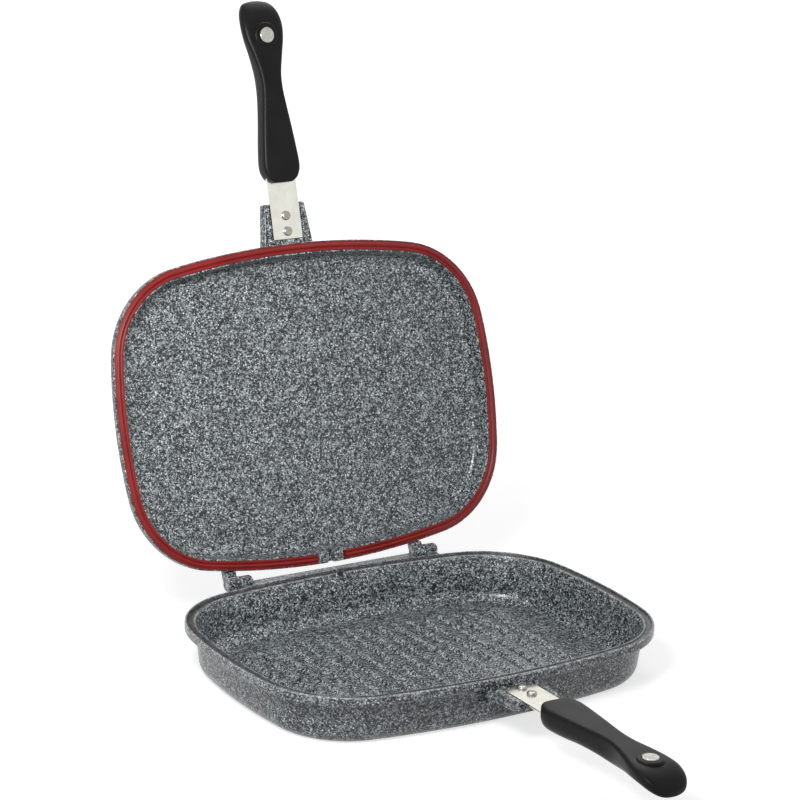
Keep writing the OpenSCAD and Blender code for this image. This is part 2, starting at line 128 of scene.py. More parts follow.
# Grip, magnet and screw
GRIP_START = 51
GRIP_L = 152
MAGNET_R = 6.5
MAGNET_H = 4
BOSS_R = 11
MAGNET_Y = 122            # from the grip's start
SCREW_R = 2
SCREW_HEAD_R = 2 * SCREW_R
SCREW_HEAD_Z = -14.5
SCREW_HEAD_H = 2.2

HALF_W = RIM_W / 2
HALF_D = RIM_D / 2
STRAP_TOP = -STRAP_Z
STRAP_BOTTOM = -STRAP_Z - STRAP_T
TANG_START = GRIP_START + 12
TANG_END = GRIP_START + 66
SCREW_Y = GRIP_START + 32

# ---- Placing: the pan hangs under its mating plane, the lid is mirrored over it and turned open

HINGE = next(j for j in frame["joints"] if j["name"] == "lid_hinge")
AXIS = Vector(HINGE["pos_m"]) / MM
OPEN_ANGLE = HINGE["range_deg"][1]
OPENING = Matrix.Rotation(math.radians(-OPEN_ANGLE), 4, "X")

GROUND = Matrix.Identity(4)                     # heights are counted from the pan's underside
PAN = Matrix.Translation((0, 0, PAN_H))
LID_SHUT = Matrix.Translation((0, 0, PAN_H + CLOSE_GAP)) @ Matrix.Scale(-1, 4, (0, 0, 1))
OPENED = Matrix.Translation(AXIS) @ OPENING @ Matrix.Translation(-AXIS)
LID = OPENED @ LID_SHUT
FRONT = (Matrix.Translation((0, -HALF_D, 0))    # Y counts forward from the rim's front edge
         @ Matrix.Scale(-1, 4, (0, 1, 0)))
SIDES = (-1, 1)


# ---- Mesh helpers

ROUND = 64                # segments of turned shapes
FINE_ROUND = 80           # of those that show from near
HOLE_ROUND = 48
QUARTER = math.pi / 2
SLIVER = 0.001            # corners that a boolean leaves closer than this are one corner
CORNER_SHARE = 0.42       # the most of an edge that the curve at one of its ends takes up
OVER = 1                  # how far a cutter stands out past what it cuts
PAST = 5                  # a longer reach, over a face that isn't flat
THROUGH = 30              # and right through


def between(a, b, steps):
    """Values from a to b, with both, in equal steps."""
    return [a + (b - a) * i / steps for i in range(steps + 1)]


def edit(obj, action):
    """Changes an object's mesh by a function of its bmesh."""
    bm = bmesh.new()
    bm.from_mesh(obj.data)
    action(bm)
    bm.to_mesh(obj.data)
    bm.free()
    return obj


def new_object(name, verts, faces, matrix):
    """A closed mesh from points in millimetres, placed by matrix, its faces turned outwards."""
    mesh = bpy.data.meshes.new(name)
    mesh.from_pydata([(matrix @ Vector(v)) * MM for v in verts], [], faces)
    obj = bpy.data.objects.new(name, mesh)
    bpy.context.scene.collection.objects.link(obj)
    return edit(obj, lambda bm: bmesh.ops.recalc_face_normals(bm, faces=bm.faces))


def bevel(obj, width, segments=3, angle=35):
    """Rounds every edge sharper than angle; the width is in millimetres."""
    def action(bm):
        limit = math.radians(angle)
        sharp = [e for e in bm.edges if e.is_manifold and e.calc_face_angle() > limit]
        bmesh.ops.bevel(bm, geom=sharp, offset=width * MM, segments=segments, profile=0.5,
                        affect="EDGES", clamp_overlap=True)
    return edit(obj, action)


def joined(objects):
    """One object that holds the meshes of several."""
    first, rest = objects[0], objects[1:]
    bm = bmesh.new()
    for o in objects:
        bm.from_mesh(o.data)
    bm.to_mesh(first.data)
    bm.free()
    for o in rest:
        bpy.data.objects.remove(o)
    return first


def combine(base, others, operation):
    """Applies a boolean of each of the others to base and removes them."""
    for other in others:
        mod = base.modifiers.new("boolean", "BOOLEAN")
        mod.operation = operation
        mod.solver = "MANIFOLD"
        mod.object = other
        graph = bpy.context.evaluated_depsgraph_get()
        made = bpy.data.meshes.new_from_object(base.evaluated_get(graph))
        base.modifiers.clear()
        base.data = made
        bpy.data.objects.remove(other)
    return base


def add(base, *others):
    return combine(base, others, "UNION")


def cut(base, *others):
    return combine(base, others, "DIFFERENCE")


def smooth(obj, angle=32):
    """Smooth shading, sharp where faces meet at more than angle; slivers are welded first."""
    def action(bm):
        bmesh.ops.remove_doubles(bm, verts=bm.verts, dist=SLIVER * MM)
        bmesh.ops.dissolve_degenerate(bm, edges=bm.edges, dist=SLIVER * MM)
        limit = math.radians(angle)
        for f in bm.faces:
            f.smooth = True
        for e in bm.edges:
            e.smooth = not (e.is_manifold and e.calc_face_angle() > limit)
    return edit(obj, action)


def weighted(obj):
    """Large flat faces keep their own normal, with no false shading beside a rounded edge."""
    mod = obj.modifiers.new("weighted", "WEIGHTED_NORMAL")
    mod.keep_sharp = True
    mod.weight = 80
    return obj


def two_ended(name, near, far, matrix):
    """A closed solid between two like loops of points."""
    n = len(near)
    faces = [tuple(range(n)), tuple(range(n, 2 * n))]
    faces += [(i, (i + 1) % n, n + (i + 1) % n, n + i) for i in range(n)]
    return new_object(name, near + far, faces, matrix)


def prism(name, outline, x0, x1, matrix, taper=lambda y: 1):
    """An outline of (y, z) drawn out from x0 to x1; taper(y) gives a share of the width at y."""
    near, far = ([(x * taper(y), y, z) for y, z in outline] for x in (x0, x1))
    return two_ended(name, near, far, matrix)


def plate(name, outline, z0, z1, matrix):
    """An outline of (x, y) drawn up from z0 to z1."""
    near, far = ([(x, y, z) for x, y in outline] for z in (z0, z1))
    return two_ended(name, near, far, matrix)


def block(name, low, high, matrix):
    """A box between two corners."""
    (x0, y0, z0), (x1, y1, z1) = low, high
    return plate(name, [(x0, y0), (x1, y0), (x1, y1), (x0, y1)], z0, z1, matrix)


def lathe(name, profile, matrix, segments=ROUND):
    """A profile of (radius, z) turned about Z; its ends lie on the axis."""
    inner = profile[1:-1]
    m = len(inner)
    verts = [(0, 0, profile[0][1]), (0, 0, profile[-1][1])]
    for i in range(segments):
        a = 2 * math.pi * i / segments
        verts += [(r * math.cos(a), r * math.sin(a), z) for r, z in inner]
    faces = []
    for i in range(segments):
        near, far = 2 + i * m, 2 + (i + 1) % segments * m
        faces += [(0, far, near), (1, near + m - 1, far + m - 1)]
        faces += [(near + j, far + j, far + j + 1, near + j + 1) for j in range(m - 1)]
    return new_object(name, verts, faces, matrix)


def rod(name, radius, z0, z1, matrix, segments=ROUND):
    return lathe(name, [(0, z0), (radius, z0), (radius, z1), (0, z1)], matrix, segments)


def skin(count, m, first=0):
    """Faces over count rings of m points each, whose points start at first, and its two ends."""
    last = first + (count - 1) * m
    faces = [(a + j, a + (j + 1) % m, a + m + (j + 1) % m, a + m + j)
             for a in range(first, last, m) for j in range(m)]
    return faces + [tuple(range(first, first + m)), tuple(range(last, last + m))]


def on_axis(x):
    """Z runs along the hinge axis to the right from x, X to the back and Y up."""
    turn = Matrix(((0, 0, 1, 0), (1, 0, 0, 0), (0, 1, 0, 0), (0, 0, 0, 1)))
    return along_x(x) @ turn


def along_x(x):
    """Y and Z of an outline are counted from the hinge axis."""
    return Matrix.Translation((x, AXIS.y, AXIS.z))


def soften(points, radius, closed=False, steps=3):
    """The same line with every corner replaced by a short curve."""
    out, n = [], len(points)
    for i, p in enumerate(points):
        if not closed and i in (0, n - 1):
            out.append(p)
            continue
        p, a, b = Vector(p), Vector(points[i - 1]), Vector(points[(i + 1) % n])
        reach = min(radius, CORNER_SHARE * (a - p).length, CORNER_SHARE * (b - p).length)
        start = p + (a - p).normalized() * reach
        end = p + (b - p).normalized() * reach
        for k in range(steps + 1):
            t = k / steps
            out.append(tuple((1 - t) ** 2 * start + 2 * t * (1 - t) * p + t * t * end))
    return out


# ---- Rim outline: eight tangent arcs, and the same arcs at any inset

LONG_STEPS = 16
CORNER_STEPS = 22
SHORT_STEPS = 10

long_c = Vector((0, HALF_D - LONG_R))
short_c = Vector((HALF_W - SHORT_R, 0))
link = short_c - long_c
link_l = link.length
along = ((LONG_R - CORNER_R) ** 2 - (SHORT_R - CORNER_R) ** 2 + link_l ** 2) / (2 * link_l)
across = math.sqrt((LONG_R - CORNER_R) ** 2 - along ** 2)
corner_c = long_c + along * link / link_l - across * Vector((-link.y, link.x)) / link_l
short_a = math.atan2(corner_c.y, corner_c.x - short_c.x)
long_a = math.atan2(corner_c.y - long_c.y, corner_c.x)


def quarter_stations():
    """Arc centre, radius and angle at each step from mid short edge to mid long edge."""
    rows = [(short_c, SHORT_R, a) for a in between(0, short_a, SHORT_STEPS)[:-1]]
    rows += [(corner_c, CORNER_R, a) for a in between(short_a, long_a, CORNER_STEPS)[:-1]]
    rows += [(long_c, LONG_R, a) for a in between(long_a, QUARTER, LONG_STEPS)]
    return rows


def turned(row, sx, sy):
    """A station of the first quarter, mirrored into another by the signs of its X and Y."""
    c, r, a = row
    return Vector((sx * c.x, sy * c.y)), r, math.atan2(sy * math.sin(a), sx * math.cos(a))


def all_stations():
    """The stations of the whole rim, once round."""
    q = quarter_stations()
    back = q[:0:-1]
    return ([turned(s, 1, 1) for s in q[:-1]] + [turned(s, -1, 1) for s in back]
            + [turned(s, -1, -1) for s in q[:-1]] + [turned(s, 1, -1) for s in back])


STATIONS = all_stations()


def rim_xy(station, inset):
    """The outline's point at a station, at an inset."""
    c, r, a = station
    return c.x + (r - inset) * math.cos(a), c.y + (r - inset) * math.sin(a)


def back_y(x, inset):
    """Y of the rim's back edge at x, at an inset."""
    return long_c.y + math.sqrt((LONG_R - inset) ** 2 - x ** 2)


def floor_half_y(x, inset):
    """Half the depth at x of the outline at an inset."""
    x, r = abs(x), CORNER_R - inset
    if x <= corner_c.x + r * math.cos(long_a):
        return back_y(x, inset)
    if x < corner_c.x + r * math.cos(short_a):
        return corner_c.y + math.sqrt(r ** 2 - (x - corner_c.x) ** 2)
    return math.sqrt((SHORT_R - inset) ** 2 - (x - short_c.x) ** 2)


def inset_of(x, y):
    """How far a point lies inside the rim's outline."""
    p = Vector((abs(x), abs(y)))
    a = math.atan2(p.y - corner_c.y, p.x - corner_c.x)
    if a < short_a:
        return SHORT_R - (p - short_c).length
    if a > long_a:
        return LONG_R - (p - long_c).length
    return CORNER_R - (p - corner_c).length


def swept(name, profile, matrix, closed):
    """A profile of (inset, z) swept round the rim: a ring if closed, or a cup with filled ends."""
    m, n = len(profile), len(STATIONS)
    verts = [(*rim_xy(st, s), z) for st in STATIONS for s, z in profile]
    faces = []
    for i in range(n):
        here, there = i * m, (i + 1) % n * m
        for j in range(m if closed else m - 1):
            k = (j + 1) % m
            faces.append((here + j, here + k, there + k, there + j))
    if not closed:
        faces.append(tuple(i * m for i in range(n)))
        faces.append(tuple(i * m + m - 1 for i in range(n)))
    return new_object(name, verts, faces, matrix)


# ---- Castings

LIP_EDGE = 0.9
GROOVE_Z = 1.9
INNER_LIP_Z = 1
OUTER_LIP_W = 1.8
INNER_LIP_W = 1.9
WALL_FOOT_IN = WALL_IN + LEAN
INNER_FOOT_IN = BASE_IN + 1.5
INNER_WALL_IN = WALL_IN + WALL_T
INNER_WALL_FOOT = WALL_FOOT_IN + WALL_T
GROOVE_OUT = OUTER_LIP_W + 0.5
GROOVE_END = RIM_TOP_W - INNER_LIP_W - 0.4
LID_WALL_IN = RIM_TOP_W - WALL_T
LID_WALL_FOOT = TOP_IN - TOP_R + 1
LID_INNER_FOOT = LID_WALL_FOOT + WALL_T - 1.5
LID_FLOOR_IN = TOP_IN + 0.5
SEAL_OUT = RIM_TOP_W - SEAL_LAND
INNER_FOOT_LESS = 2       # the foot's rounding is this much less high inside than outside
FLANGE_FALL = 0.4         # the flange's underside falls this much towards the wall
LAND_DROP = 0.2           # the seal's inner land lies this far under the lid's mating plane
SOFT_EDGE = 0.45          # rounding of the pan's small corners
LID_SOFT_EDGE = 0.25      # and of the lid's
FLAT_RING = 2.5           # a flat ring between a rounded foot and the flat face inside it
FOOT_STEPS = 12


def foot_arc(foot_in, foot_z, reach, rise):
    """A ring on the flat, then a quarter ellipse from there to where it runs into the wall."""
    return ([(foot_in + FLAT_RING, foot_z)]
            + [(foot_in - reach * math.sin(a), foot_z + rise * (1 - math.cos(a)))
               for a in between(0, QUARTER, FOOT_STEPS)])


PAN_PROFILE = (
    foot_arc(BASE_IN, -PAN_H, BASE_IN - WALL_FOOT_IN, BASE_R)
    + soften([
        (WALL_IN + 0.3, -PAN_FLANGE_H - 2.4), (WALL_IN, -PAN_FLANGE_H - FLANGE_FALL),
        (0.7, -PAN_FLANGE_H), (0, -PAN_FLANGE_H + 1.2),
        (0, -LIP_EDGE), (LIP_EDGE * 0.3, -LIP_EDGE * 0.3), (LIP_EDGE, 0), (OUTER_LIP_W, 0),
        (GROOVE_OUT, -GROOVE_Z), (GROOVE_END, -GROOVE_Z),
        (RIM_TOP_W - INNER_LIP_W, -INNER_LIP_Z), (RIM_TOP_W - 0.5, -INNER_LIP_Z),
        (RIM_TOP_W, -INNER_LIP_Z - 0.6), (INNER_WALL_IN, -PAN_FLANGE_H - 2)], SOFT_EDGE)
    + foot_arc(INNER_FOOT_IN, PAN_FLOOR_T - PAN_H, INNER_FOOT_IN - INNER_WALL_FOOT,
               BASE_R - INNER_FOOT_LESS)[::-1])

LID_PROFILE = (
    foot_arc(TOP_IN, -LID_H, TOP_IN - LID_WALL_FOOT, TOP_R)
    + soften([
        (LID_WALL_IN + 0.5, -LID_FLANGE_H - 1.6), (LID_WALL_IN, -LID_FLANGE_H - FLANGE_FALL),
        (0.5, -LID_FLANGE_H), (0, -LID_FLANGE_H + 0.8),
        (0, -LIP_EDGE), (LIP_EDGE * 0.5, 0), (SEAL_IN, 0),
        (SEAL_IN, -SEAL_DEPTH), (SEAL_OUT, -SEAL_DEPTH), (SEAL_OUT, -LAND_DROP),
        (SEAL_OUT + 1.1, -LAND_DROP), (SEAL_OUT + 1.5, -1.2)], LID_SOFT_EDGE)
    + foot_arc(LID_FLOOR_IN, LID_TOP_T - LID_H, LID_FLOOR_IN - LID_INNER_FOOT,
               TOP_R - INNER_FOOT_LESS)[::-1])

# Half of a rib's section, from under the floor to its top
RIB_SECTION = [(2.9, -0.4), (2.9, 0.03), (2.55, 0.2), (2.15, 0.8), (1.75, 1.7), (1.4, 2.35),
               (1.05, 2.57), (0, RIB_H)]
RIB_END = 5               # length over which a rib rises at its end
RIB_END_STEPS = 6
RIB_END_FIRST = 0.15      # where on that length the first ring stands, in steps
RIB_END_W = 0.45          # share of its width with which a rib starts


def ribs(matrix):
    """Rounded bars across the floor, each with its ends run out."""
    outline = RIB_SECTION[:-1] + [(-u, h) for u, h in reversed(RIB_SECTION)]
    count = math.floor((HALF_W - INNER_FOOT_IN - RIB_END_GAP) / RIB_PITCH - 0.5)
    base_z = PAN_FLOOR_T - PAN_H
    shares = [(i + RIB_END_FIRST) / (RIB_END_STEPS + RIB_END_FIRST)
              for i in range(RIB_END_STEPS + 1)]
    verts, faces = [], []
    for k in range(-count, count + 1):
        x = k * RIB_PITCH
        half = floor_half_y(x, INNER_FOOT_IN + RIB_END_GAP)
        rows = [(-half + RIB_END * s, math.sqrt(1 - (1 - s) ** 2)) for s in shares]
        rows += [(-y, grow) for y, grow in reversed(rows)]
        faces += skin(len(rows), len(outline), len(verts))
        for y, grow in rows:
            wide = RIB_END_W + (1 - RIB_END_W) * grow
            verts += [(x + u * wide, y, base_z + (h * grow if h > 0 else h)) for u, h in outline]
    return new_object("ribs", verts, faces, matrix)


LUG_SINK = 0.5            # how far a lug's root goes into the wall
LID_LUG_SINK = 2.5        # and at the foot of the lid's, which is rounded
LUG_TIP_ROUND = 1.5
LUG_EDGE = 1.1
RIVET_SEAT = 0.5          # flat left round a rivet's head


def lug(upper_in, lower_in, root_h, place):
    """The casting's tongue that carries the strap, with rounded edges."""
    flat_y = RIVET_1 - RIVET_HEAD_R - RIVET_SEAT
    outline = [(-upper_in, STRAP_TOP), (LUG_L - LUG_TIP_ROUND, STRAP_TOP),
               (LUG_L, STRAP_TOP - LUG_TIP_ROUND), (LUG_L, -LUG_H), (flat_y, -LUG_H),
               (-WALL_IN, -root_h), (-lower_in, -root_h)]
    narrowing = (LUG_ROOT_W - LUG_TIP_W) / LUG_ROOT_W / LUG_L
    made = prism("lug", outline, -LUG_ROOT_W / 2, LUG_ROOT_W / 2, place @ FRONT,
                 lambda y: 1 - narrowing * y)
    return bevel(made, LUG_EDGE)


def strap_slot(place):
    """The cut in a lug that the strap lies in."""
    half = STRAP_W / 2 + STRAP_SIDE
    return block("slot", (-half, STRAP_END_Y - STRAP_PLAY, STRAP_BOTTOM),
                 (half, LUG_L + PAST, LUG_H), place @ FRONT)


def at_rivets(place):
    """Where the two rivets stand."""
    return [place @ FRONT @ Matrix.Translation((0, RIVET_1 + k * RIVET_PITCH, 0)) for k in (0, 1)]


def rivet_holes(place):
    return [rod("hole", RIVET_R, -THROUGH, PAST, at, HOLE_ROUND) for at in at_rivets(place)]


def arm_x0(side):
    """Left end of a hinge arm of the lid."""
    return side * HINGE_X - SIDE_GAP / 2 - ARM_W


def knuckle_x0(side):
    """Left end of a hinge knuckle of the pan."""
    return side * HINGE_X + SIDE_GAP / 2


def rounded_end(radius, length, round_r, steps=6):
    """Profile of a barrel whose far end is rounded."""
    return [(radius - round_r * (1 - math.cos(a)), length - round_r * (1 - math.sin(a)))
            for a in between(0, QUARTER, steps)]


def barrel(name, radius, length, near_round, far_round, matrix):
    """A round bar with rounded ends."""
    near = [(r, length - z) for r, z in reversed(rounded_end(radius, length, near_round))]
    far = rounded_end(radius, length, far_round)
    return lathe(name, [(0, 0)] + near + far + [(0, length)], matrix)


HEEL_UNDER = ARM_R - 1
HEEL_T = 4
HEEL_SIDE = 0.05          # the heel is this much narrower than the arm on each side
ARM_T = 9
ARM_EDGE = 0.6            # rounding of the arm's ends and of its heel
SHANK_SIDE = 0.3
SHANK_LIFT = 0.2          # the shank lies this far off the lid's mating plane
SHANK_EDGE = 0.5
LEDGE_OUT = 2.5
LEDGE_H = 6
LEDGE_DROP = 0.12         # the ledge's top lies this far under the rim
LEDGE_EDGE = 0.6
PAD_SIDE = 1.5
PAD_RISE = 0.1            # the pad starts this far above the flange's underside
KNUCKLE_ROUND = 3
KNUCKLE_EDGE = 0.5
KNUCKLE_FOOT_SIDE = 0.2
FOOT_START = 0.8 * OUTER_LIP_W
PAN_VENT_EDGE = 0.8
VENT_LAND_EDGE = 0.3
VENT_CORNER = 1.5


def foot_outline(x0, x1, back_to, steps=16):
    """Plan of a foot that grows out of the pan's outer lip and runs back to back_to."""
    front = [(x, back_y(x, FOOT_START)) for x in between(x0, x1, steps)]
    return front + [(x1, back_to), (x0, back_to)]


def knuckle_parts(side):
    """Barrel and foot of one of the pan's knuckles."""
    x0 = knuckle_x0(side)
    outline = foot_outline(x0 + KNUCKLE_FOOT_SIDE, x0 + KNUCKLE_W - KNUCKLE_ROUND, AXIS.y)
    return [barrel("knuckle", KNUCKLE_R, KNUCKLE_W, KNUCKLE_EDGE, KNUCKLE_ROUND, on_axis(x0)),
            plate("foot", outline, PAN_H - LEDGE_H, PAN_H - LEDGE_DROP, GROUND)]


def stop_pad(side):
    """The pad that the open lid's heel all but meets."""
    x = arm_x0(side)
    pad = plate("pad", foot_outline(x + PAD_SIDE, x + ARM_W - PAD_SIDE, AXIS.y),
                PAN_H - PAN_FLANGE_H + PAD_RISE, PAN_H - GROOVE_Z, GROUND)
    low, far, right = -HEEL_UNDER - STOP_GAP, 3 * HEEL_L, ARM_W + 2 * OVER
    outline = [(-HEEL_L, low), (far, low), (far, far), (-HEEL_L, far)]
    return cut(pad, rod("clear", ARM_R + STOP_GAP, -OVER, right, on_axis(x)),
               prism("clear", outline, -OVER, right, along_x(x) @ OPENING))


def pan_ledge():
    """The ledge along the back rim, between the hinges."""
    x0, x1 = knuckle_x0(-1) + KNUCKLE_W / 2, arm_x0(1) - SIDE_GAP
    return bevel(plate("ledge", foot_outline(x0, x1, AXIS.y + LEDGE_OUT), PAN_H - LEDGE_H,
                       PAN_H - LEDGE_DROP, GROUND), LEDGE_EDGE, 2, 50)


def pan_vent():
    """The cut for steam through the pan's inner lip."""
    low = (-PAN_VENT_W / 2, HALF_D - RIM_TOP_W - WALL_T, PAN_H - (PAN_FLANGE_H - 1))
    high = (PAN_VENT_W / 2, HALF_D - OUTER_LIP_W, PAN_H + OVER)
    return bevel(block("vent", low, high, GROUND), PAN_VENT_EDGE)


def pan_casting():
    """The deep pan: cup, ribs, lug, hinge knuckles, stop pads and ledge in one casting."""
    cup = swept("pan_casting", PAN_PROFILE, PAN, closed=False)
    add(cup, ribs(PAN), lug(WALL_IN + LUG_SINK, WALL_FOOT_IN + LUG_SINK, PAN_H / 2, PAN))
    for side in SIDES:
        add(cup, *knuckle_parts(side), stop_pad(side))
    add(cup, pan_ledge())
    for side in SIDES:
        cut(cup, rod("bore", PIN_R + PIN_PLAY, -OVER, KNUCKLE_W + OVER, on_axis(knuckle_x0(side))))
    return smooth(cut(cup, pan_vent(), strap_slot(PAN), *rivet_holes(PAN)))


def arm_parts(side):
    """Barrel, shank and heel of one of the lid's arms."""
    x = arm_x0(side)
    near_x, far_x = sorted((abs(x), abs(x + ARM_W)))
    wall = back_y(far_x, LID_WALL_IN + 1) - AXIS.y
    lip = back_y(near_x, 0) - AXIS.y
    under = PAN_H + CLOSE_GAP - AXIS.z
    rise = under + SEAL_DEPTH + 1
    low = under + SHANK_LIFT
    shank = [(lip, low), (0, low), (0, ARM_R - 0.05), (wall, ARM_T + under), (wall, rise),
             (lip, rise)]
    heel = [(0, -HEEL_UNDER), (HEEL_L, -HEEL_UNDER), (HEEL_L, HEEL_T - HEEL_UNDER), (0, HEEL_T)]
    place = OPENED @ along_x(x)
    return [barrel("barrel", ARM_R, ARM_W, ARM_EDGE, ARM_EDGE, OPENED @ on_axis(x)),
            bevel(prism("shank", shank, SHANK_SIDE, ARM_W - SHANK_SIDE, place), SHANK_EDGE, 2),
            bevel(prism("heel", heel, HEEL_SIDE, ARM_W - HEEL_SIDE, place), ARM_EDGE, 2)]


def vent_land():
    """The raised land that the seal's two ends meet."""
    half = VENT_GAP / 2 - VENT_END_GAP
    return bevel(block("vent_land", (-half, HALF_D - SEAL_OUT - 1, -SEAL_DEPTH - 1),
                       (half, HALF_D - SEAL_IN + 0.2, -0.02), LID), VENT_LAND_EDGE, 2)


def lid_vent():
    """The notch for steam through the lid's rim, narrower inside."""
    long = SEAL_OUT + 4
    notch = [(-VENT_TIP_W / 2, 0), (VENT_TIP_W / 2, 0), (VENT_W / 2, long), (-VENT_W / 2, long)]
    return plate("vent", soften(notch, VENT_CORNER, closed=True), -LID_FLANGE_H, LID_FLANGE_H,
                 LID @ Matrix.Translation((0, HALF_D - SEAL_OUT - 2, 0)))


def lid_casting():
    """The shallow lid: cup, lug and hinge arms in one casting, with a vent through its rim."""
    cup = swept("lid_casting", LID_PROFILE, LID, closed=False)
    add(cup, lug(LID_WALL_IN + LUG_SINK, LID_WALL_FOOT + LID_LUG_SINK, LID_H - LID_TOP_T, LID),
        vent_land())
    for side in SIDES:
        add(cup, *arm_parts(side))
    cut(cup, lid_vent(), strap_slot(LID), *rivet_holes(LID))
    for side in SIDES:
        cut(cup, rod("bore", PIN_R, -OVER, ARM_W + OVER, OPENED @ on_axis(arm_x0(side))))
    return smooth(cup)


# The seal: a ridge over the pan's groove and a bead over its inner lip
RIDGE_IN = GROOVE_OUT + 0.3
RIDGE_OUT = RIDGE_IN + RIDGE_W
BEAD_H = INNER_LIP_Z + CLOSE_GAP - SEAL_GAP
BEAD_IN = GROOVE_END - 0.2
SHOULDER = 0.7            # share of its height at which a ridge or bead turns over
SEAL_SOFT_EDGE = 0.5
SEAL_CUT = 10
SEAL_PROFILE = soften([
    (SEAL_IN, -SEAL_DEPTH), (SEAL_IN, 0),
    (RIDGE_IN - 0.3, 0), (RIDGE_IN + 0.2 * RIDGE_W, SHOULDER * RIDGE_H),
    (RIDGE_IN + 0.5 * RIDGE_W, RIDGE_H), (RIDGE_IN + 0.8 * RIDGE_W, SHOULDER * RIDGE_H),
    (RIDGE_OUT + 0.3, 0), (BEAD_IN - 0.5, 0), (BEAD_IN, SHOULDER * BEAD_H),
    ((BEAD_IN + SEAL_OUT) / 2, BEAD_H), (SEAL_OUT - 0.2, SHOULDER * BEAD_H),
    (SEAL_OUT, 0), (SEAL_OUT, -SEAL_DEPTH)], SEAL_SOFT_EDGE, closed=True)


def seal():
    """The red ring in the lid's channel, open at the vent."""
    ring = swept("seal_ring", SEAL_PROFILE, LID, closed=True)
    gap = block("gap", (-VENT_GAP / 2, HALF_D - THROUGH, -SEAL_CUT),
                (VENT_GAP / 2, HALF_D + SEAL_CUT, SEAL_CUT), LID)
    return smooth(cut(ring, gap), 50)


# ---- Handles; in each, Y counts forward from the rim's front edge

# Share of the grip's length, half width, and height of its mating face and of its back
GRIP_STATIONS = [
    (0, 8, -1.2, -13), (0.012, 11.2, -0.3, -17.2), (0.035, 14.6, 0, -19.6), (0.09, 17, 0, -20.6),
    (0.2, 15.6, 0, -20.4), (0.32, 13.3, 0, -19.2), (0.44, 10.8, 0, -19.6), (0.52, 9.6, 0, -20.4),
    (0.6, 10.3, -0.3, -20.2), (0.7, 13.9, -0.8, -18.4), (0.79, 17.6, -1.9, -17),
    (0.87, 18.7, -3.2, -17.5), (0.94, 16.8, -6.9, -19.4), (0.985, 12, -11.8, -20.3),
    (1, 4.2, -15, -19.4)]
RINGS_BETWEEN = 6
SECTION_POINTS = 56
TOP_SQUARE = 6.5          # how square the section's edges are at the strap
PALM_SQUARE = 3.4         # and at the palm
BOTTOM_SQUARE = 2.5
PALM_FROM = 0.55          # shares of the length from and over which one becomes the other
PALM_OVER = 0.35
WIDEST_AT = 0.4
BOSS_TOP = -1
BOSS_H = 8
SCREW_REACH = 40
STRAP_CORNER = 0.8
STRAP_EDGE = 0.3
RIVET_HEAD_H = 2.3
RIVET_TAIL_H = 1.2
RIVET_SQUARE = 3.4        # how square the drum head's edge is
CROSS_W = 0.8
CROSS_DEEP = 1
CAP_WALL = 0.5
CAP_ROUND = 0.8
PIN_CHAMFER = 0.4


def blend(a, b, c, d, t):
    """Smooth curve from b to c, with a before and d after them."""
    return b + 0.5 * t * (c - a + t * (2 * a - 5 * b + 4 * c - d + t * (3 * (b - c) + d - a)))


def power(v, p):
    """A power that keeps the sign."""
    return math.copysign(abs(v) ** p, v)


def grip_ring(share, half, top, bottom):
    """One ring of the grip: a section flatter above and rounder below."""
    mid = top - WIDEST_AT * (top - bottom)
    ease = min(max((share - PALM_FROM) / PALM_OVER, 0), 1)
    square = TOP_SQUARE + (PALM_SQUARE - TOP_SQUARE) * ease * ease * (3 - 2 * ease)
    ring = []
    for i in range(SECTION_POINTS):
        a = 2 * math.pi * (i + 0.5) / SECTION_POINTS
        up = math.sin(a) > 0
        p = 2 / (square if up else BOTTOM_SQUARE)
        ring.append((half * power(math.cos(a), p), GRIP_START + GRIP_L * share,
                     mid + (top - mid if up else mid - bottom) * power(math.sin(a), p)))
    return ring


def grip_shell(name, matrix):
    """The moulding's outer form, through its stations."""
    g, n = GRIP_STATIONS, len(GRIP_STATIONS) - 1
    rings = []
    for i in range(n):
        near = (g[max(i - 1, 0)], g[i], g[i + 1], g[min(i + 2, n)])
        for k in range(RINGS_BETWEEN):
            rings.append(grip_ring(*(blend(*column, k / RINGS_BETWEEN) for column in zip(*near))))
    rings.append(grip_ring(*g[n]))
    return new_object(name, [p for r in rings for p in r], skin(len(rings), SECTION_POINTS), matrix)


